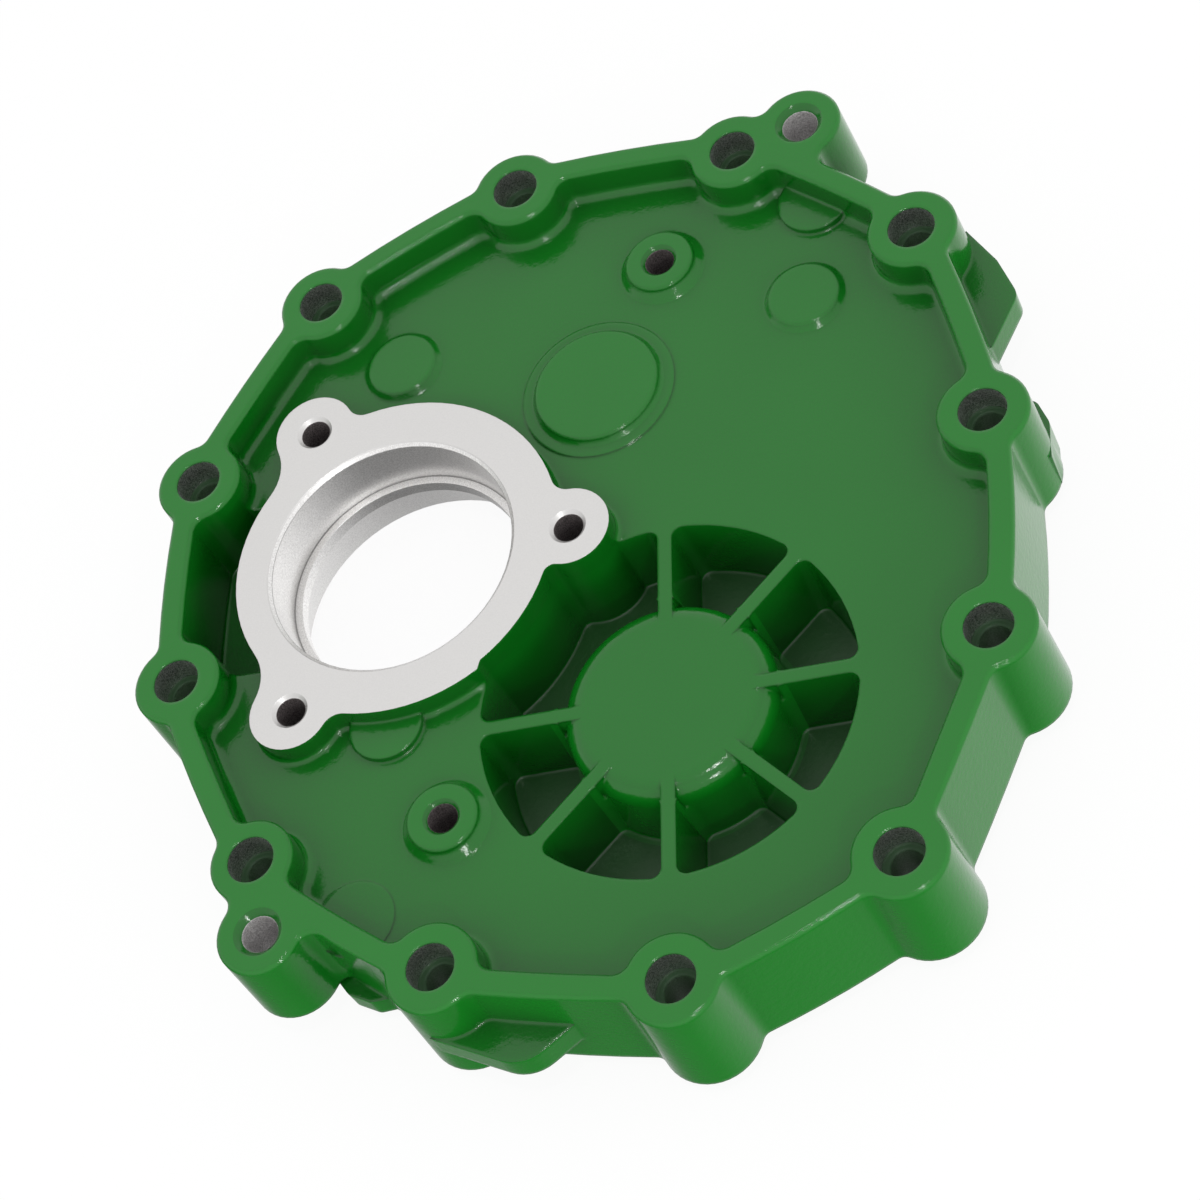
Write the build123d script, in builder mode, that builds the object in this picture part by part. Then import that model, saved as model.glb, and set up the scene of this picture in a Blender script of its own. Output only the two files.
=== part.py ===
"""Bearing retainer: one cast cover with a flanged rim, a machined bearing pad and a ribbed hub.

Millimetres. Z runs along the bearing bore and points out of the rim face, the side that bolts up.
The origin is the bore axis at the shoulder on which the bearing is seated.
X points from the bore to the first of the three retainer ears.
"""
from math import atan2, cos, degrees, radians, sin, tan
import os

from build123d import *

# heights from the bearing shoulder
rim_z = 20.5            # rim face
pad_z = 17.0            # machined bearing pad
floor_z = 9.5           # web between rim and pad
seat_z = -14.5          # lower ends of the bolt bosses and of the rim wall
pocket_z = -13.0        # floors of the hub pockets
trench_z = -7.0         # floor of the trench beside the bearing boss
back_z = -21.5          # back plane, on which the bearing boss and the hub drum stand
web = 6.0               # thickness of the web and of the hollow bosses under it
cast_draft = 4.0        # draft of the pockets, the bearing boss and the drum, in degrees

# rim: twelve bolt bosses joined by a wall
bolts = [
    (33.1, 117.9),
    (-26.5, 89.4),
    (-60.4, 33.0),
    (-60.4, -33.0),
    (-32.2, -91.8),
    (21.6, -129.4),
    (86.5, -140.3),
    (145.3, -113.1),
    (169.6, -52.4),
    (169.9, 13.5),
    (151.7, 77.6),
    (99.6, 116.6),
]
# how far the outer face of each wall lies beyond the line from its bolt to the next
wall_out = [8.0, 7.1, 7.6, 7.2, 7.6, 6.8, 6.9, 5.1, 7.6, 7.2, 7.6, 8.0]
wall_bow = 1.1          # how far each wall bows out between two bosses
wall = 7.0              # rim wall thickness
rim_draft = 2.2         # how far the outside of the rim leans out towards the back, in degrees
boss_r = 12.8
slim_boss = 4           # the one beside a dowel boss is slimmer
slim_boss_r = 12.0
boss_blend = 4.5        # upright corners between bosses and wall
rim_edge = 0.9          # broken edges of the rim face
foot_r = 2.5            # fillet where the rim wall meets the web
sleeve_r = 6.75         # counterbore for a fitting sleeve
sleeve_depth = 8.8
screw_r = 4.5           # clearance hole below the sleeve

# two dowel bosses on the outside of the rim
dowels = [(-28.1, -113.4), (119.4, 122.0)]
dowel_boss_r = 12.1
dowel_boss_z = -6.5     # lower ends of the dowel bosses
dowel_r = 5.15
dowel_mouth_r = 7.0     # countersunk mouth

# bearing boss and its pad with three ears
pad_r = 50.0
pad_left_r = 46.6       # pad outline beside the trench
pad_left_x = 30.0       # the narrower outline starts this far left of the bore axis
pad_hub_r = 48.2        # pad outline beside the hub pocket
pad_blend = 5.5         # upright corners between ears and pad
pad_left_blend = 15.0   # the same beside the trench
pad_foot_r = 1.5
ear_ring_r = 52.7       # pitch radius of the three ears
ear_r = 12.0
boss_back_r = 49.0      # bearing boss at the back plane

# bore, from the pad to the back
bearing_r = 36.0
bearing_lead = 1.2      # chamfer at the mouth of the seat
lip_r = 33.6
lip_width = 4.0
back_r = 40.7           # the cast bore opens to this at the back

# tapped holes
tap_r = 4.25
tap_mouth_r = 5.4
tap_depth = 20.0

# ribbed hub
hub = (79.9, -53.7)
hub_r = 29.5
hub_round = 6.5         # rounded edge of the hub between the ribs
pocket_r = 53.0
pocket_corner = 3.0
drum_r = 58.5
rib = 4.0
rib_directions = [2.0, 47.0, 92.0, 182.0, 227.0, 272.0, 317.0]

# trench between the rim and the bearing boss
trench_half = 27.3

# bosses and discs that stand on the web
screw_bosses = [(75.8, 87.7), (19.2, -82.7)]
screw_boss_r = 10.2
screw_boss_h = 4.0
screw_boss_foot = 2.5   # slanted foot on the web
screw_boss_z = -9.5     # lower ends under the web
small_discs = [(-3.2, 68.6), (118.2, 68.3)]
edge_discs = [(0.1, -51.0), (121.3, 100.6)]
small_disc_r = 10.6
small_disc_h = 2.1
small_disc_foot = 1.4
large_disc = (57.6, 49.0)
large_disc_r = 18.4
large_disc_h = 3.0
large_disc_foot = 1.8
step_r = 22.6
step_h = 0.6
witness_disc = (-5.1, -108.0)
witness_r = 11.2
witness_h = 0.5
disc_edge = 0.6         # broken edges of the bosses and discs

# lugs on the outside of the rim: the rounding of their corners, and their outline
lug_foot_z = -3.5
lug_top_z = 5.0
side_lugs = [
    (12.0, [(16.1, -142.1), (42.3, -153.0), (56.2, -142.5), (38.0, -130.0)]),
    (5.0, [(163.6, 84.9), (172.1, 72.9), (177.5, 60.5), (168.4, 41.3), (155.0, 60.0)]),
]

# lugs that stand level with the lower end of the rim: their height, and their outline
foot_lug_corner = 3.0
foot_lugs = [
    (13.5, [(166.0, 33.0), (180.2, 28.0), (183.4, 21.0), (183.6, 9.5), (168.0, 8.0)]),
    (7.0, [(-22.0, -110.0), (-13.5, -121.0), (-6.5, -124.2), (4.0, -123.0), (4.0, -112.0)]),
]

sides = len(bolts)
shrink = tan(radians(cast_draft))


def beside(side, share, offset):
    """Point at a share of the way from one bolt to the next, moved outwards."""
    start = Vector(*bolts[side % sides])
    end = Vector(*bolts[(side + 1) % sides])
    along = (end - start).normalized()
    return start + (end - start) * share + Vector(along.Y, -along.X) * offset


def wall_corner(side, inset):
    """Where the faces of two neighbouring walls meet, at the bolt between them."""
    before = beside(side - 1, 1, wall_out[side - 1] - wall_bow - inset)
    after = beside(side, 0, wall_out[side % sides] - wall_bow - inset)
    return (before + after) / 2


def bolt_bosses(mode):
    """The round bosses of the rim, drawn into the sketch that is being made."""
    for place in bolts:
        with Locations(place):
            Circle(slim_boss_r if place == bolts[slim_boss] else boss_r, mode=mode)


def wall_outline(inset):
    """One face of the rim wall all round: a shallow arc from each bolt to the next."""
    with BuildSketch() as outline:
        with BuildLine():
            for side in range(sides):
                ThreePointArc(
                    wall_corner(side, inset),
                    beside(side, 0.5, wall_out[side] - inset),
                    wall_corner(side + 1, inset),
                )
        make_face()
    return outline.sketch


def rim_outside(dowel_bosses):
    """Outer outline of the rim, with its bolt bosses and the given dowel bosses."""
    with BuildSketch() as outline:
        add(wall_outline(0))
        bolt_bosses(Mode.ADD)
        for place in dowel_bosses:
            with Locations(place):
                Circle(dowel_boss_r)
        fillet(outline.vertices(), boss_blend)
    return outline.sketch


def rim_inside():
    """Room inside the rim wall, between the bolt bosses."""
    with BuildSketch() as outline:
        add(wall_outline(wall))
        bolt_bosses(Mode.SUBTRACT)
        fillet(outline.vertices(), boss_blend)
    return outline.sketch


def direction(angle, length):
    """Vector of a length at an angle in degrees from X."""
    return Vector(cos(radians(angle)) * length, sin(radians(angle)) * length)


def pad_outline():
    """Machined pad: a ring with three ears, narrower beside the trench."""
    with BuildSketch() as outline:
        Circle(pad_r)
        with Locations((-pad_left_x, 0)):
            Rectangle(pad_r, 2 * pad_r, align=(Align.MAX, Align.CENTER), mode=Mode.SUBTRACT)
        Circle(pad_left_r)
        with PolarLocations(ear_ring_r, 3):
            Circle(ear_r)
        fillet(outline.vertices().filter_by(lambda corner: corner.X < -pad_left_x / 2), pad_left_blend)
        fillet(outline.vertices().filter_by(lambda corner: corner.X > -pad_left_x / 2), pad_blend)
    return outline.sketch


def boss_in_pocket(grow):
    """Side of the bearing boss and of its first ear, as they stand in the hub pocket."""
    with BuildSketch() as outline:
        Circle(pad_hub_r + grow)
        with Locations((ear_ring_r, 0)):
            Circle(ear_r + grow)
        fillet(outline.vertices(), pocket_corner)
    return outline.sketch


def hub_pocket(start, end, height):
    """Room between two ribs, the hub and the drum wall, clear of the bearing boss."""
    inset = (floor_z - height) * shrink
    middle = (start + end) / 2
    apex = Vector(*hub) + direction(middle, (rib / 2 + inset) / sin(radians(end - start) / 2))
    with BuildSketch() as outline:
        with Locations(hub):
            Circle(pocket_r - inset)
            Circle(hub_r + inset, mode=Mode.SUBTRACT)
        Polygon(
            apex,
            apex + direction(start, 2 * drum_r),
            apex + direction(middle, 4 * drum_r),
            apex + direction(end, 2 * drum_r),
            mode=Mode.INTERSECT,
        )
        fillet(outline.vertices(), pocket_corner)
        if start < bore_direction < end:
            add(boss_in_pocket(inset), mode=Mode.SUBTRACT)
    return outline.sketch


def trench_outline(margin):
    """Room between the rim wall and the bearing boss; margin widens it by a wall."""
    with BuildSketch() as outline:
        add(room)
        with Locations((-pad_r, 0)):
            Rectangle(2 * ear_r + 2 * foot_r, 2 * (trench_half + margin), mode=Mode.INTERSECT)
        Circle(pad_left_r - margin, mode=Mode.SUBTRACT)
        if not margin:
            add(pad, mode=Mode.SUBTRACT)
    return outline.sketch


def lug_outline(points, corner):
    """Lug on the outside of the rim: its ends lie in the wall, the points between are rounded."""
    with BuildSketch() as outline:
        Polygon(*points)
        for point in points[1:-2]:
            fillet(outline.vertices().sort_by_distance(point)[0], corner)
        add(room, mode=Mode.SUBTRACT)
    return outline.sketch


def near(place, radius):
    """Test for edges whose middle lies within a radius of a place, seen from above."""
    def is_near(edge):
        middle = edge.center(CenterOf.BOUNDING_BOX)
        return (Vector(middle.X, middle.Y) - Vector(*place)).length < radius
    return is_near


room = rim_inside()
pad = pad_outline()
bore_direction = degrees(atan2(-hub[1], -hub[0]))

# what the rounding takes off the hub's edge, clear of the ribs that run flush onto it
with BuildPart() as hub_edge:
    round_r = hub_r + hub_round * shrink - hub_round
    with BuildSketch(Plane.XZ.offset(-hub[1])):
        with Locations((hub[0], floor_z - hub_round)):
            with Locations((round_r, 0)):
                Rectangle(1.1 * hub_round, 2 * hub_round, align=(Align.MIN, Align.MIN))
                Circle(hub_round, mode=Mode.SUBTRACT)
    revolve(axis=Axis((hub[0], hub[1], 0), (0, 0, 1)))
    for angle in rib_directions:
        with Locations(Location((hub[0], hub[1], floor_z), angle)):
            Box(drum_r, rib, 4 * hub_round, align=(Align.MIN, Align.CENTER, Align.CENTER), mode=Mode.SUBTRACT)

with BuildPart() as retainer:
    # rim: outer wall with its bosses, open above and below the web
    with BuildSketch(Plane.XY.offset(seat_z)):
        add(rim_outside([]))
    extrude(amount=rim_z - seat_z)
    with BuildSketch(Plane.XY.offset(dowel_boss_z)):
        add(rim_outside(dowels))
    extrude(amount=rim_z - dowel_boss_z)
    draft(retainer.faces().filter_by(Plane.XY, reverse=True), Plane.XY.offset(rim_z), rim_draft)
    with BuildSketch(Plane.XY.offset(floor_z)):
        add(room)
    extrude(amount=rim_z - floor_z, mode=Mode.SUBTRACT)
    with BuildSketch(Plane.XY.offset(seat_z)):
        add(room)
    extrude(amount=floor_z - web - seat_z, mode=Mode.SUBTRACT)
    chamfer(retainer.faces().filter_by(Plane.XY).sort_by(Axis.Z)[-1].edges(), rim_edge)
    fillet(retainer.faces().filter_by_position(Axis.Z, floor_z, floor_z).edges(), foot_r)

    # machined pad with its ears, and its foot fillet on the web
    with BuildSketch(Plane.XY.offset(floor_z)):
        add(pad)
    extrude(amount=pad_z - floor_z)
    at_floor = retainer.edges().filter_by_position(Axis.Z, floor_z, floor_z)
    fillet(at_floor.filter_by(near((0, 0), ear_ring_r + ear_r)), pad_foot_r)

    # discs on the web
    round_discs = (
        [(place, small_disc_r, small_disc_h, small_disc_foot) for place in small_discs]
        + [(place, screw_boss_r, screw_boss_h, screw_boss_foot) for place in screw_bosses]
        + [(large_disc, large_disc_r, large_disc_h, large_disc_foot)]
    )
    for place, radius, height, foot in round_discs:
        with BuildSketch(Plane.XY.offset(floor_z)):
            with Locations(place):
                Circle(radius)
        extrude(amount=height)
        top = retainer.edges().filter_by_position(Axis.Z, floor_z + height, floor_z + height)
        chamfer(top.filter_by(near(place, radius)), disc_edge)
        at_floor = retainer.edges().filter_by_position(Axis.Z, floor_z, floor_z)
        chamfer(at_floor.filter_by(near(place, foot)), foot)
    low_discs = (
        [(place, small_disc_r, small_disc_h) for place in edge_discs]
        + [(large_disc, step_r, step_h), (witness_disc, witness_r, witness_h)]
    )
    for place, radius, height in low_discs:
        with BuildSketch(Plane.XY.offset(floor_z)):
            with Locations(place):
                Circle(radius)
        extrude(amount=height)

    # bearing boss, hub drum, ear columns and screw bosses, on the back of the web
    with Locations((0, 0, back_z)):
        Cone(
            boss_back_r,
            boss_back_r + (floor_z - back_z) * shrink,
            floor_z - back_z,
            align=(Align.CENTER, Align.CENTER, Align.MIN),
        )
    with Locations((*hub, back_z)):
        Cone(
            drum_r,
            drum_r + (floor_z - web - back_z) * shrink,
            floor_z - web - back_z,
            align=(Align.CENTER, Align.CENTER, Align.MIN),
        )
    with BuildSketch(Plane.XY.offset(screw_boss_z)):
        with PolarLocations(ear_ring_r, 3):
            Circle(ear_r)
        with Locations(*screw_bosses):
            Circle(screw_boss_r)
    extrude(amount=floor_z - screw_boss_z)

    # trench: its box under the web, then the room itself
    with BuildSketch(Plane.XY.offset(trench_z - web)):
        add(trench_outline(web))
    extrude(amount=floor_z - trench_z)
    with BuildSketch(Plane.XY.offset(trench_z)):
        add(trench_outline(0))
    extrude(amount=pad_z - trench_z, mode=Mode.SUBTRACT)

    # hub pockets, narrower towards their floors
    for start, end in zip(rib_directions, rib_directions[1:] + [rib_directions[0] + 360]):
        with BuildSketch(Plane.XY.offset(pocket_z)):
            add(hub_pocket(start, end, pocket_z))
        with BuildSketch(Plane.XY.offset(floor_z)):
            add(hub_pocket(start, end, floor_z))
        loft(mode=Mode.SUBTRACT, ruled=True)
        with BuildSketch(Plane.XY.offset(floor_z)):
            add(hub_pocket(start, end, floor_z))
        extrude(amount=pad_z - floor_z, mode=Mode.SUBTRACT)
    add(hub_edge.part, mode=Mode.SUBTRACT)

    # the hub is hollow from the back
    with BuildSketch(Plane.XY.offset(back_z)):
        with Locations(hub):
            Circle(hub_r - web)
    extrude(amount=floor_z - web - back_z, mode=Mode.SUBTRACT)

    # lugs on the outside of the rim
    for corner, points in side_lugs:
        with BuildSketch(Plane.XY.offset(lug_foot_z)):
            add(lug_outline(points, corner))
        extrude(amount=lug_top_z - lug_foot_z)
    for height, points in foot_lugs:
        with BuildSketch(Plane.XY.offset(seat_z)):
            add(lug_outline(points, foot_lug_corner))
        extrude(amount=height)

    # bore: lead, bearing seat, lip and the cast opening at the back
    with BuildSketch(Plane.XZ):
        with BuildLine():
            Polyline(
                (0, pad_z),
                (bearing_r + bearing_lead, pad_z),
                (bearing_r, pad_z - bearing_lead),
                (bearing_r, 0),
                (lip_r, 0),
                (lip_r, -lip_width),
                (back_r, back_z),
                (0, back_z),
                close=True,
            )
        make_face()
    revolve(axis=Axis.Z, mode=Mode.SUBTRACT)

    # bolt holes with a counterbore for a fitting sleeve
    with BuildSketch(Plane.XY.offset(rim_z)):
        with Locations(*bolts):
            Circle(sleeve_r)
    extrude(amount=-sleeve_depth, mode=Mode.SUBTRACT)
    with BuildSketch(Plane.XY.offset(rim_z)):
        with Locations(*bolts):
            Circle(screw_r)
    extrude(amount=seat_z - rim_z, mode=Mode.SUBTRACT)

    # dowel holes
    with Locations(Plane.XY.offset(rim_z)):
        with Locations(*dowels):
            CounterSinkHole(dowel_r, dowel_mouth_r, depth=rim_z - dowel_boss_z, counter_sink_angle=90)

    # tapped holes in the ears and in the screw bosses
    with Locations(Plane.XY.offset(pad_z)):
        with PolarLocations(ear_ring_r, 3):
            CounterSinkHole(tap_r, tap_mouth_r, depth=tap_depth, counter_sink_angle=90)
    with Locations(Plane.XY.offset(floor_z + screw_boss_h)):
        with Locations(*screw_bosses):
            CounterSinkHole(tap_r, tap_mouth_r, depth=tap_depth, counter_sink_angle=90)

retainer.part.label = "retainer"

os.makedirs("parts", exist_ok=True)
export_step(retainer.part, "parts/retainer.step")
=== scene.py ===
"""Looks of a bearing retainer: green gloss paint over a casting, with its machined faces left bare.

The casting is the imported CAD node. Its one mesh carries one material, which tells paint from bare
metal by where a point lies: on the pad, in the bore, or inside a bolt, dowel or tapped hole.
"""

import bpy
from bpy.props import FloatProperty, FloatVectorProperty, PointerProperty
from bpy.types import Operator, Panel, PropertyGroup
from mathutils import Matrix, Vector


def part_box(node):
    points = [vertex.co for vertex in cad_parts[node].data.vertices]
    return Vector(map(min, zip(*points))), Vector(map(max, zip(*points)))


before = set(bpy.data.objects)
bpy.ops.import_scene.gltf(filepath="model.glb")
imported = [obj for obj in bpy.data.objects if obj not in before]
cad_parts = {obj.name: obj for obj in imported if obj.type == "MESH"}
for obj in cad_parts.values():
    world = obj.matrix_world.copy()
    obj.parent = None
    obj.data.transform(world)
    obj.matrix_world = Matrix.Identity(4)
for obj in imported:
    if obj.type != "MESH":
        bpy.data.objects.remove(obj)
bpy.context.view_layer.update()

bl_info = {
    "name": "Bearing retainer",
    "version": (1, 0, 0),
    "blender": (4, 5, 0),
    "location": "3D View > Sidebar > Retainer",
    "description": "Paints a cast bearing retainer and lights it in a small studio",
    "category": "Object",
}

CASTING = "retainer"
MM = 0.001
LOW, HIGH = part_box(CASTING)

# Places on the casting, in millimetres from the bore's axis and its shoulder, as the part has them.
RIM_Z = HIGH.z / MM
WEB_Z = 9.5
POCKET_Z = -13.0
PAD_Z = 17.0
PAD_REACH = 56.0
EARS = [(52.7, 0.0), (-26.35, 45.64), (-26.35, -45.64)]
EAR_REACH = 12.3
BORE = (0.0, 0.0)
BORE_REACH = 41.0
SEAT_R = 36.0
LEAD = 1.2
BOLTS = [
    (33.1, 117.9),
    (-26.5, 89.4),
    (-60.4, 33.0),
    (-60.4, -33.0),
    (-32.2, -91.8),
    (21.6, -129.4),
    (86.5, -140.3),
    (145.3, -113.1),
    (169.6, -52.4),
    (169.9, 13.5),
    (151.7, 77.6),
    (99.6, 116.6),
]
SLEEVE_R = 6.75
SLEEVE_FLOOR_Z = RIM_Z - 8.8
SHANK_R = 4.5
DOWELS = [(-28.1, -113.4), (119.4, 122.0)]
DOWEL_R = 5.15
WEB_SCREWS = [(75.8, 87.7), (19.2, -82.7)]
SCREW_Z = 13.5
TAP_R = 4.25
TAP_DEPTH = 20.0
TAP_MOUTH_R = 5.4
TAP_MOUTH_DEPTH = 1.3
CONE_REACH = 8.0
HUB = (79.9, -53.7)
HUB_SIDE_R = 33.0

# How far a mask reaches past the wall, the level face or the edge that it follows, in millimetres.
WALL_SLACK = 0.1
FACE_SLACK = 0.05
EDGE_SLACK = 0.3
# The paint goes this far over the edge of a bolt hole; painted shade darkens it from this depth on.
PAINTED_LIP = 0.5
DARK_DEPTH = 2.0
# The side of the hub starts this far below the web.
HUB_SIDE_DEPTH = 1.0
# A face counts as level from the first of these, and fully from the second (1 is flat).
LEVEL = (0.6, 0.9)
# The middle of a noise from 0 to 1, and where it takes the darkest and the lightest colour.
MEAN_NOISE = 0.5
WIDE_STOPS = (0.3, 0.7)
NARROW_STOPS = (0.35, 0.65)
THREAD_STOPS = (0.35, 0.7)

# Paint: sizes of its marks in millimetres, and how much they change its colour or its gloss.
PAINT_SAMPLES = 8
PAINT_IOR = 1.5
CLOUD, CLOUD_DETAIL = 38.0, 3.0
CLOUD_SHADES = (0.97, 1.03)
GRAIN, GRAIN_SHARE = 0.55, 0.35
PEEL_ROUGHNESS = 0.06
# Painted shade down the bolt holes, on the dowel and screw cones and on the pocket floors:
HOLE_PAINTED_SHADE, HOLE_ROUGHNESS = 0.55, 0.4
CONE_PAINTED_SHADE = 0.3
POCKET_PAINTED_SHADE, POCKET_ROUGHNESS = 0.4, 0.3

# Metal: the speckle's size and how it changes the gloss and the marks, then its darkest and
# lightest colours in each kind of hole. On the pad the darkest is a share of the metal's colour.
METAL_SAMPLES = 6
SPECKLE, SPECKLE_CONTRAST = 0.45, 0.7
SPECKLE_ROUGHNESS, SPECKLE_SHARE = 0.12, 0.8
PAD_SHADE = 0.94
BORED = ((0.70, 0.69, 0.68), (0.94, 0.93, 0.92))
COUNTERBORED = ((0.28, 0.29, 0.28), (0.88, 0.88, 0.87))
# Shank: green of the cast hole, darkened with painted shade from deep in the bolt hole.
SHANK_IN_PAINTED_SHADE = ((0.035, 0.09, 0.035), (0.11, 0.18, 0.11))
REAMED = ((0.26, 0.25, 0.25), (0.62, 0.60, 0.60))
# Tapped holes: near black, painted shade of their depth and of threads the mesh lacks.
THREADED = ((0.035, 0.028, 0.028), (0.19, 0.165, 0.165))
# How far the skin in these holes is from pure metal, and how rough or smooth some of them are.
SHANK_SKIN, DOWEL_SKIN, THREAD_SKIN = 0.9, 0.8, 0.7
THREAD_ROUGHNESS, BORE_SMOOTHNESS = 0.3, 0.05
# The tool's rings: how fast their wave turns with each millimetre, its depth and its strength.
RING_TURN, RING_DEPTH, RING_STRENGTH = 9.0, 0.003, 0.6
# Bore seat: heights of its two hairlines of painted shade, with half their widths.
SHADE_LINES = [(0.1, 0.12), (PAD_Z - LEAD, 0.13)]
# Its lower corner: height of its painted shade, and how dark that and the hairlines are.
CORNER_HEIGHT = 4.0
SEAT_SHADING = 0.35

# Lamps: their places and widths in metres, and the key light's share of the top light's power.
KEY_PLACE, TOP_PLACE, SIDE_PLACE = (0.54, -0.92, 0.74), (0.30, -0.36, 1.22), (1.17, -1.15, 0.19)
SMALL_LAMP, WIDE_LAMP = 0.07, 0.8
KEY_SHARE = 0.7
# Camera: its sideways and upward directions, and the width of its sensor in millimetres.
CAMERA_RIGHT = Vector((0.94367, 0.03120, -0.32942))
CAMERA_UP = Vector((0.14303, 0.85928, 0.49111))
SENSOR = 36
# Glow below the horizon: the way to the far side, the most that it reaches there, and the height
# at which it starts with the depth over which it comes in.
FAR_SIDE = (0.528, 0.849, 0)
GLOW_MOST = 1.5
HORIZON, HORIZON_BLUR = 0.005, 0.1

BLACK = (0, 0, 0, 1)
WHITE = (1, 1, 1, 1)


class FinishSizes(PropertyGroup):
    """Paint and bare metal of the casting."""

    paint: FloatVectorProperty(
        name="Paint",
        description="Colour of the gloss paint",
        subtype="COLOR",
        size=3,
        min=0,
        max=1,
        default=(0.0035, 0.150, 0.0086),
    )
    paint_roughness: FloatProperty(
        name="Paint roughness",
        description="How far the paint's gloss is blurred",
        subtype="FACTOR",
        min=0,
        max=1,
        default=0.13,
    )
    peel: FloatProperty(
        name="Orange peel",
        description="Size of the small waves in the paint",
        subtype="DISTANCE",
        unit="LENGTH",
        default=1.6 * MM,
    )
    peel_depth: FloatProperty(
        name="Peel depth",
        description="Depth of the waves in the paint",
        subtype="DISTANCE",
        unit="LENGTH",
        default=0.06 * MM,
    )
    sunk_painted_shade: FloatProperty(
        name="Sunk dimming",
        # How much painted shade darkens the sunk web against the rim
        description="How much deeper the green is on the sunk web than on the rim",
        subtype="FACTOR",
        min=0,
        max=1,
        default=0.14,
    )
    painted_shade_reach: FloatProperty(
        name="Corner reach",
        # How far from a wall the painted shade of the corners reaches
        description="How far from a wall the thicker, deeper paint of the corners reaches",
        subtype="DISTANCE",
        unit="LENGTH",
        default=45 * MM,
    )
    corner_painted_shade: FloatProperty(
        name="Corner dimming",
        # How much painted shade darkens the corners and pockets
        description="How much deeper the green is in the corners and pockets",
        subtype="FACTOR",
        min=0,
        max=1,
        default=0.50,
    )
    edge: FloatProperty(
        name="Edge radius",
        description="Radius at which the paint rounds the edges of the casting",
        subtype="DISTANCE",
        unit="LENGTH",
        default=1.6 * MM,
    )
    metal: FloatVectorProperty(
        name="Machined metal",
        description="Colour of the bare machined faces",
        subtype="COLOR",
        size=3,
        min=0,
        max=1,
        default=(0.715, 0.705, 0.695),
    )
    metal_roughness: FloatProperty(
        name="Metal roughness",
        description="How far the reflections in the machined faces are blurred",
        subtype="FACTOR",
        min=0,
        max=1,
        default=0.42,
    )
    machined_edge: FloatProperty(
        name="Machined edge",
        description="Radius of the broken edges of the machined faces",
        subtype="DISTANCE",
        unit="LENGTH",
        default=0.25 * MM,
    )


class StageSizes(PropertyGroup):
    """Studio around the casting."""

    floor_size: FloatProperty(
        name="Floor",
        description="Side of the floor",
        subtype="DISTANCE",
        unit="LENGTH",
        default=6.0,
    )
    floor_colour: FloatVectorProperty(
        name="Floor colour",
        description="Colour of the floor",
        subtype="COLOR",
        size=3,
        min=0,
        max=1,
        default=(0.90, 0.90, 0.90),
    )
    shadow: FloatProperty(
        name="Shadow",
        description="How much of the object's shadow the floor shows",
        subtype="FACTOR",
        min=0,
        max=1,
        default=0.08,
    )
    sky: FloatProperty(
        name="Sky",
        description="Strength of the even light from all round",
        min=0,
        default=1.0,
    )
    glow: FloatProperty(
        name="Glow",
        description="Mean strength of what gloss and metal reflect from below",
        min=0,
        default=0.57,
    )
    glow_slope: FloatProperty(
        name="Glow slope",
        description="How much brighter that is at the far side than in the middle",
        min=0,
        default=0.85,
    )
    glow_least: FloatProperty(
        name="Least glow",
        description="Strength of that where it is darkest, at the near left",
        min=0,
        default=0.18,
    )
    top_light: FloatProperty(
        name="Top light",
        description="Power of the small light above; the one near the camera has a part of it",
        subtype="POWER",
        unit="POWER",
        min=0,
        default=1.8,
    )
    side_light: FloatProperty(
        name="Side light",
        description="Power of the wide low light on the near right walls",
        subtype="POWER",
        unit="POWER",
        min=0,
        default=7.0,
    )
    lens: FloatProperty(
        name="Lens",
        description="Focal length of the camera in millimetres, on a sensor of 36",
        default=98.17,
    )
    eye: FloatVectorProperty(
        name="Camera",
        description="Place of the camera",
        subtype="XYZ",
        unit="LENGTH",
        size=3,
        default=(0.3253, -0.4741, 0.7258),
    )


class Socket:
    """An output of a node, with arithmetic that adds Math nodes to its tree."""

    def __init__(self, maker, output):
        self.maker = maker
        self.output = output

    def math(self, operation, *others):
        return self.maker.node("ShaderNodeMath", {"operation": operation}, [self, *others])

    def __add__(self, other):
        return self.math("ADD", other)

    def __radd__(self, other):
        return self.math("ADD", other)

    def __sub__(self, other):
        return self.math("SUBTRACT", other)

    def __rsub__(self, other):
        return self.maker.node("ShaderNodeMath", {"operation": "SUBTRACT"}, [other, self])

    def __mul__(self, other):
        return self.math("MULTIPLY", other)

    def __rmul__(self, other):
        return self.math("MULTIPLY", other)

    def __truediv__(self, other):
        return self.math("DIVIDE", other)

    def __lt__(self, other):
        return self.math("LESS_THAN", other)

    def __gt__(self, other):
        return self.math("GREATER_THAN", other)

    def least(self, other):
        return self.math("MINIMUM", other)

    def most(self, other):
        return self.math("MAXIMUM", other)

    def clamp(self):
        """The same number, held between 0 and 1."""
        return self.most(0).least(1)

    def near(self, middle, reach):
        """1 within a reach of a number."""
        return (self - middle).math("ABSOLUTE") < reach


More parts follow.
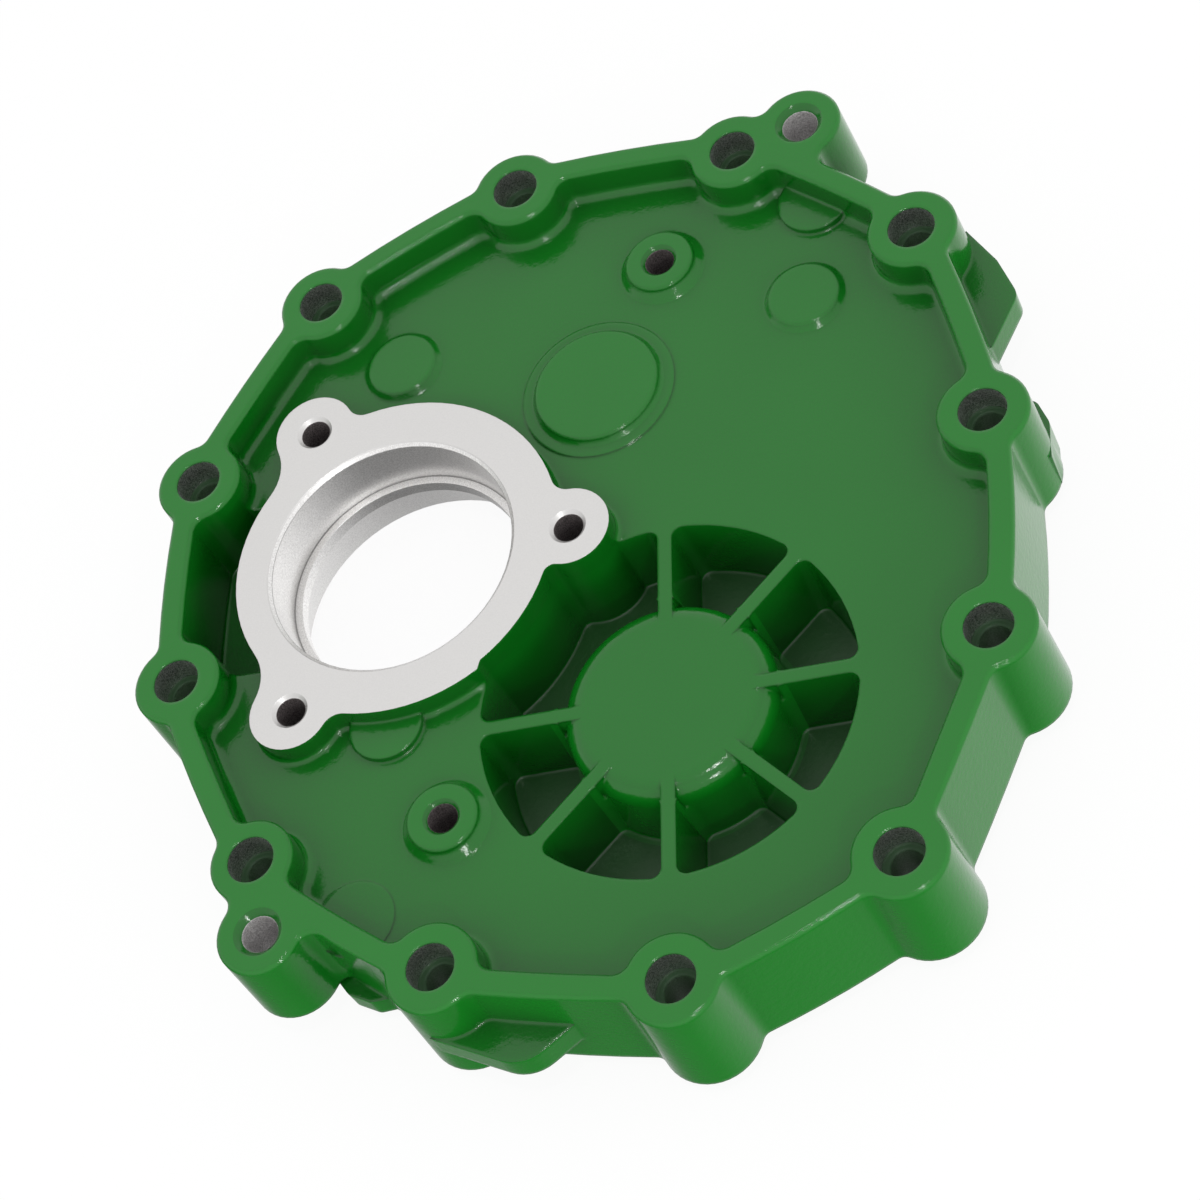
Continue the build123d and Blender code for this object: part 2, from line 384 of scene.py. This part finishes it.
class Maker:
    """Adds nodes to a material's or the world's tree."""

    def __init__(self, owner):
        owner.use_nodes = True
        self.tree = owner.node_tree
        self.tree.nodes.clear()

    def node(self, kind, settings, inputs=(), output=0):
        """One node: its settings first, then the values or links of its sockets."""
        made = self.tree.nodes.new(kind)
        for name, value in settings.items():
            setattr(made, name, value)
        pairs = inputs.items() if isinstance(inputs, dict) else enumerate(inputs)
        for key, value in pairs:
            if isinstance(value, Socket):
                self.tree.links.new(value.output, made.inputs[key])
            else:
                made.inputs[key].default_value = value
        return Socket(self, made.outputs[output]) if made.outputs else None

    def ramp(self, factor, colours, stops=NARROW_STOPS):
        """A Color Ramp from one colour to another between two stops."""
        made = self.node("ShaderNodeValToRGB", {}, {"Fac": factor})
        elements = made.output.node.color_ramp.elements
        for element, place, colour in zip(elements, stops, colours):
            element.position = place
            element.color = (*colour, 1)
        return made

    def noise(self, vector, size, detail=2.0, roughness=0.5):
        """Noise with features of a size in millimetres."""
        inputs = {"Vector": vector, "Scale": 1 / size, "Detail": detail, "Roughness": roughness}
        return self.node("ShaderNodeTexNoise", {}, inputs)

    def mix(self, factor, one, other):
        """Colour between two colours."""
        settings = {"data_type": "RGBA"}
        return self.node("ShaderNodeMix", settings, {0: factor, 6: one, 7: other}, 2)

    def darken(self, colour, share):
        """A share of a colour's brightness."""
        return self.mix(share, BLACK, colour)

    def rounded(self, samples, radius):
        """The surface's direction, with its edges rounded to a radius."""
        return self.node("ShaderNodeBevel", {"samples": samples}, {"Radius": radius})

    def ray(self, kind):
        """1 on rays of one kind, as Light Path names it."""
        return self.node("ShaderNodeLightPath", {}, output=kind)

    def surface(self, shader):
        self.node("ShaderNodeOutputMaterial", {}, {"Surface": shader})


class Places:
    """Where a point of the casting lies, in millimetres, and the holes that it lies in."""

    def __init__(self, maker):
        self.maker = maker
        coordinates = maker.node("ShaderNodeTexCoord", {}, output="Object")
        scaled = {"Vector": coordinates, "Scale": 1 / MM}
        self.point = maker.node("ShaderNodeVectorMath", {"operation": "SCALE"}, scaled)
        x = maker.node("ShaderNodeSeparateXYZ", {}, [self.point], "X")
        y = maker.node("ShaderNodeSeparateXYZ", {}, [self.point], "Y")
        self.z = maker.node("ShaderNodeSeparateXYZ", {}, [self.point], "Z")
        self.plan = maker.node("ShaderNodeCombineXYZ", {}, {"X": x, "Y": y})
        self.radius = self.distance(BORE)
        self.ears = self.nearest(EARS)
        self.screws = self.nearest(WEB_SCREWS)
        self.dowels = self.nearest(DOWELS)
        bolts = self.nearest(BOLTS)
        self.in_bolt_hole = bolts < SLEEVE_R + WALL_SLACK
        below_sleeve = self.z < SLEEVE_FLOOR_Z - FACE_SLACK
        self.in_shank = (bolts < SHANK_R + WALL_SLACK) * below_sleeve
        self.in_dowel_hole = self.dowels < DOWEL_R + WALL_SLACK
        self.in_ear_tap = self.ears < TAP_R + WALL_SLACK
        self.in_web_tap = self.screws < TAP_R + WALL_SLACK

    def distance(self, centre):
        """Distance in plan from one point."""
        settings = {"operation": "DISTANCE"}
        inputs = [self.plan, (*centre, 0)]
        return self.maker.node("ShaderNodeVectorMath", settings, inputs, "Value")

    def nearest(self, centres):
        """Distance in plan from the nearest of some points."""
        found = self.distance(centres[0])
        for centre in centres[1:]:
            found = found.least(self.distance(centre))
        return found

    def level(self):
        """1 on faces that look up, 0 on walls and below."""
        facing = self.maker.node("ShaderNodeTexCoord", {}, output="Normal")
        up = self.maker.node("ShaderNodeSeparateXYZ", {}, [facing], "Z")
        first, full = LEVEL
        return ((up - first) / (full - first)).clamp()


def bare_metal(places):
    """1 on the machined pad, in the bore and inside the bolt, dowel and tapped holes."""
    z = places.z
    pad = (z > PAD_Z - FACE_SLACK) * (places.radius < PAD_REACH).most(places.ears < EAR_REACH)
    bore = places.radius < BORE_REACH
    sleeves = places.in_bolt_hole * (z > SLEEVE_FLOOR_Z + FACE_SLACK) * (z < RIM_Z - PAINTED_LIP)
    mouths = (places.ears < TAP_MOUTH_R + FACE_SLACK) * (z > PAD_Z - TAP_MOUTH_DEPTH)
    ear_taps = places.in_ear_tap * (z > PAD_Z - TAP_DEPTH - WALL_SLACK)
    web_taps = places.in_web_tap * (z > SCREW_Z - TAP_DEPTH - WALL_SLACK)
    bare = pad
    for mask in (bore, sleeves, places.in_shank, places.in_dowel_hole, mouths, ear_taps, web_taps):
        bare = bare.most(mask)
    return bare


def gloss_paint(maker, places, finish):
    """Green gloss with a fine orange peel, over edges that the paint has rounded."""
    cloud = maker.noise(places.point, CLOUD, CLOUD_DETAIL)
    shades = [[min(1, channel * shade) for channel in finish.paint] for shade in CLOUD_SHADES]
    even = maker.ramp(cloud, shades, WIDE_STOPS)

    # Ambient occlusion within this reach, used below for painted shade by the walls and in pockets.
    reach = {"Distance": finish.painted_shade_reach}
    settings = {"samples": PAINT_SAMPLES, "only_local": True}
    openness = maker.node("ShaderNodeAmbientOcclusion", settings, reach, "AO")
    sunk = ((RIM_Z - places.z) / (RIM_Z - WEB_Z)).clamp()
    level = places.level()
    hub_side = (places.distance(HUB) < HUB_SIDE_R) * (places.z < WEB_Z - HUB_SIDE_DEPTH)
    down_hole = places.in_bolt_hole * (places.z < RIM_Z - DARK_DEPTH)
    cones = (places.dowels.least(places.screws) < CONE_REACH) * (1 - level)
    pocket_floor = level * (places.z < POCKET_Z + EDGE_SLACK)
    # Painted shade: darker on the sunk web, by walls, down bolt holes, on cones and pocket floors.
    light = 1 - sunk * sunk * level * finish.sunk_painted_shade
    light = light * (1 - (1 - openness) * (1 - hub_side) * finish.corner_painted_shade)
    light = light * (1 - down_hole * HOLE_PAINTED_SHADE) * (1 - cones * CONE_PAINTED_SHADE)
    light = light * (1 - pocket_floor * POCKET_PAINTED_SHADE)

    peel = maker.noise(places.point, finish.peel / MM)
    grain = maker.noise(places.point, GRAIN)
    roughness = finish.paint_roughness + (peel - MEAN_NOISE) * PEEL_ROUGHNESS
    roughness = roughness + down_hole * HOLE_ROUGHNESS + pocket_floor * POCKET_ROUGHNESS
    rounded = maker.rounded(PAINT_SAMPLES, finish.edge)
    height = peel + grain * GRAIN_SHARE
    waves = {"Distance": finish.peel_depth, "Height": height, "Normal": rounded}
    inputs = {
        "Base Color": maker.darken(even, light),
        "Roughness": roughness,
        "IOR": PAINT_IOR,
        "Normal": maker.node("ShaderNodeBump", {}, waves),
    }
    return maker.node("ShaderNodeBsdfPrincipled", {}, inputs)


def machined_metal(maker, places, finish):
    """Turned grey iron: faint rings on pad and bore, speckled holes, painted shade in threads."""
    speckle = maker.noise(places.point, SPECKLE, roughness=SPECKLE_CONTRAST)
    in_bore = (places.radius < BORE_REACH) * (places.z < PAD_Z - EDGE_SLACK)
    on_seat = places.radius > SEAT_R - EDGE_SLACK
    threads = places.in_ear_tap.most(places.in_web_tap)

    # Painted shade: the seat darkens towards its lower corner and along two hairlines.
    corner = (1 - places.z / CORNER_HEIGHT).clamp() * on_seat * (places.z > -FACE_SLACK)
    lower, upper = (places.z.near(height, half) for height, half in SHADE_LINES)
    shade_lines = lower.most(upper) * on_seat
    shading = (1 - corner * SEAT_SHADING) * (1 - shade_lines * SEAT_SHADING)
    bored = maker.darken(maker.ramp(speckle, BORED), shading)

    turned = ([channel * PAD_SHADE for channel in finish.metal], finish.metal)
    colour = maker.mix(in_bore, maker.ramp(speckle, turned, WIDE_STOPS), bored)
    sleeve = maker.ramp(speckle, COUNTERBORED)
    # The shank's green is darkened with painted shade from deep in the bolt hole.
    bolt_hole = maker.mix(places.in_shank, sleeve, maker.ramp(speckle, SHANK_IN_PAINTED_SHADE))
    colour = maker.mix(places.in_bolt_hole, colour, bolt_hole)
    colour = maker.mix(places.in_dowel_hole, colour, maker.ramp(speckle, REAMED))
    # Tapped holes near black: painted shade of their depth and of threads the mesh lacks.
    colour = maker.mix(threads, colour, maker.ramp(speckle, THREADED, THREAD_STOPS))

    skin = places.in_dowel_hole * DOWEL_SKIN + places.in_shank * SHANK_SKIN
    roughness = finish.metal_roughness + (speckle - MEAN_NOISE) * SPECKLE_ROUGHNESS
    roughness = roughness + threads * THREAD_ROUGHNESS - in_bore * BORE_SMOOTHNESS
    rings = ((places.radius + places.z) * RING_TURN).math("SINE")
    marks = {
        "Strength": RING_STRENGTH,
        "Distance": RING_DEPTH * MM,
        "Height": rings + speckle * SPECKLE_SHARE,
        "Normal": maker.rounded(METAL_SAMPLES, finish.machined_edge),
    }
    inputs = {
        "Base Color": colour,
        "Metallic": 1 - threads * THREAD_SKIN - skin,
        "Roughness": roughness,
        "Normal": maker.node("ShaderNodeBump", {}, marks),
    }
    return maker.node("ShaderNodeBsdfPrincipled", {}, inputs)


class RETAINER_OT_finish(Operator):
    """Paint the casting and leave its machined faces bare"""

    bl_idname = "retainer.finish"
    bl_label = "Finish the casting"

    def execute(self, context):
        finish = context.scene.retainer_finish
        material = bpy.data.materials.new("painted_casting")
        maker = Maker(material)
        places = Places(maker)
        paint = gloss_paint(maker, places, finish)
        metal = machined_metal(maker, places, finish)
        bare = bare_metal(places)
        maker.surface(maker.node("ShaderNodeMixShader", {}, [bare, paint, metal]))
        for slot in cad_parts[CASTING].material_slots:
            slot.material = material
        return {"FINISHED"}


class RETAINER_OT_stage(Operator):
    """Lay the floor, light the studio and set the camera"""

    bl_idname = "retainer.stage"
    bl_label = "Build the stage"

    def execute(self, context):
        stage = context.scene.retainer_stage
        middle = (LOW + HIGH) / 2
        self.lay_floor(context, stage, (middle.x, middle.y, LOW.z))
        self.light_world(context, stage)
        key_power = stage.top_light * KEY_SHARE
        self.add_lamp(context, "key_light", key_power, KEY_PLACE, SMALL_LAMP, middle)
        self.add_lamp(context, "top_light", stage.top_light, TOP_PLACE, SMALL_LAMP, middle)
        lamp = self.add_lamp(context, "side_light", stage.side_light, SIDE_PLACE, WIDE_LAMP, middle)
        lamp.visible_glossy = False
        self.set_camera(context, stage)
        context.scene.view_settings.view_transform = "Standard"
        return {"FINISHED"}

    def lay_floor(self, context, stage, place):
        """A floor that the camera sees white with a little shadow, and that is clear otherwise."""
        bpy.ops.object.select_all(action="DESELECT")
        bpy.ops.mesh.primitive_plane_add(size=stage.floor_size, location=place)
        floor = context.object
        floor.name = "floor"
        material = bpy.data.materials.new("pale_floor")
        maker = Maker(material)
        below = maker.node("ShaderNodeNewGeometry", {}, output="Backfacing")
        shown = maker.ray("Is Camera Ray") * (1 - below)
        matt = maker.node("ShaderNodeBsdfDiffuse", {}, {"Color": (*stage.floor_colour, 1)})
        white = maker.node("ShaderNodeEmission", {}, {"Color": WHITE, "Strength": 1.0})
        pale = maker.node("ShaderNodeMixShader", {}, [1 - stage.shadow, matt, white])
        clear = maker.node("ShaderNodeBsdfTransparent", {}, {"Color": WHITE})
        maker.surface(maker.node("ShaderNodeMixShader", {}, [shown, clear, pale]))
        floor.data.materials.append(material)

    def light_world(self, context, stage):
        """Even white light; gloss and metal see a glow below, brighter towards the far side."""
        world = bpy.data.worlds.new("studio")
        context.scene.world = world
        maker = Maker(world)
        direction = maker.node("ShaderNodeTexCoord", {}, output="Generated")
        height = maker.node("ShaderNodeSeparateXYZ", {}, [direction], "Z")
        under = ((HORIZON - height) / HORIZON_BLUR).clamp()
        settings = {"operation": "DOT_PRODUCT"}
        side = maker.node("ShaderNodeVectorMath", settings, [direction, FAR_SIDE], "Value")
        glow = (stage.glow + side * stage.glow_slope).most(stage.glow_least).least(GLOW_MOST)
        lit = stage.sky + maker.ray("Is Glossy Ray") * under * (glow - stage.sky)
        strength = lit + maker.ray("Is Camera Ray") * (1 - lit)
        light = {"Color": WHITE, "Strength": strength}
        sky = maker.node("ShaderNodeBackground", {}, light)
        maker.node("ShaderNodeOutputWorld", {}, {"Surface": sky})

    def add_lamp(self, context, name, power, place, size, target):
        """A square area light that looks at the casting."""
        light = bpy.data.lights.new(name, "AREA")
        light.energy = power
        light.size = size
        lamp = bpy.data.objects.new(name, light)
        lamp.location = place
        lamp.rotation_euler = (Vector(place) - target).to_track_quat("Z", "Y").to_euler()
        context.scene.collection.objects.link(lamp)
        return lamp

    def set_camera(self, context, stage):
        """The camera, turned as its axes say."""
        camera = bpy.data.cameras.new("camera")
        camera.sensor_width = SENSOR
        camera.lens = stage.lens
        eye = bpy.data.objects.new("camera", camera)
        axes = (CAMERA_RIGHT, CAMERA_UP, CAMERA_RIGHT.cross(CAMERA_UP))
        turn = Matrix(axes).transposed()
        eye.matrix_world = Matrix.Translation(stage.eye) @ turn.to_4x4()
        context.scene.collection.objects.link(eye)
        context.scene.camera = eye


class RETAINER_PT_sidebar(Panel):
    """Lists the finish and the stage"""

    bl_idname = "RETAINER_PT_sidebar"
    bl_label = "Retainer"
    bl_space_type = "VIEW_3D"
    bl_region_type = "UI"
    bl_category = "Retainer"

    def draw(self, context):
        for operator, sizes in (
            (RETAINER_OT_finish, context.scene.retainer_finish),
            (RETAINER_OT_stage, context.scene.retainer_stage),
        ):
            box = self.layout.box()
            for name in sizes.bl_rna.properties.keys():
                if name not in {"rna_type", "name"}:
                    box.prop(sizes, name)
            box.operator(operator.bl_idname)


CLASSES = (FinishSizes, StageSizes, RETAINER_OT_finish, RETAINER_OT_stage, RETAINER_PT_sidebar)


def register():
    for made in CLASSES:
        bpy.utils.register_class(made)
    bpy.types.Scene.retainer_finish = PointerProperty(type=FinishSizes)
    bpy.types.Scene.retainer_stage = PointerProperty(type=StageSizes)


def unregister():
    del bpy.types.Scene.retainer_stage
    del bpy.types.Scene.retainer_finish
    for made in reversed(CLASSES):
        bpy.utils.unregister_class(made)


def main():
    register()
    bpy.ops.retainer.finish()
    bpy.ops.retainer.stage()


if __name__ == "__main__":
    main()
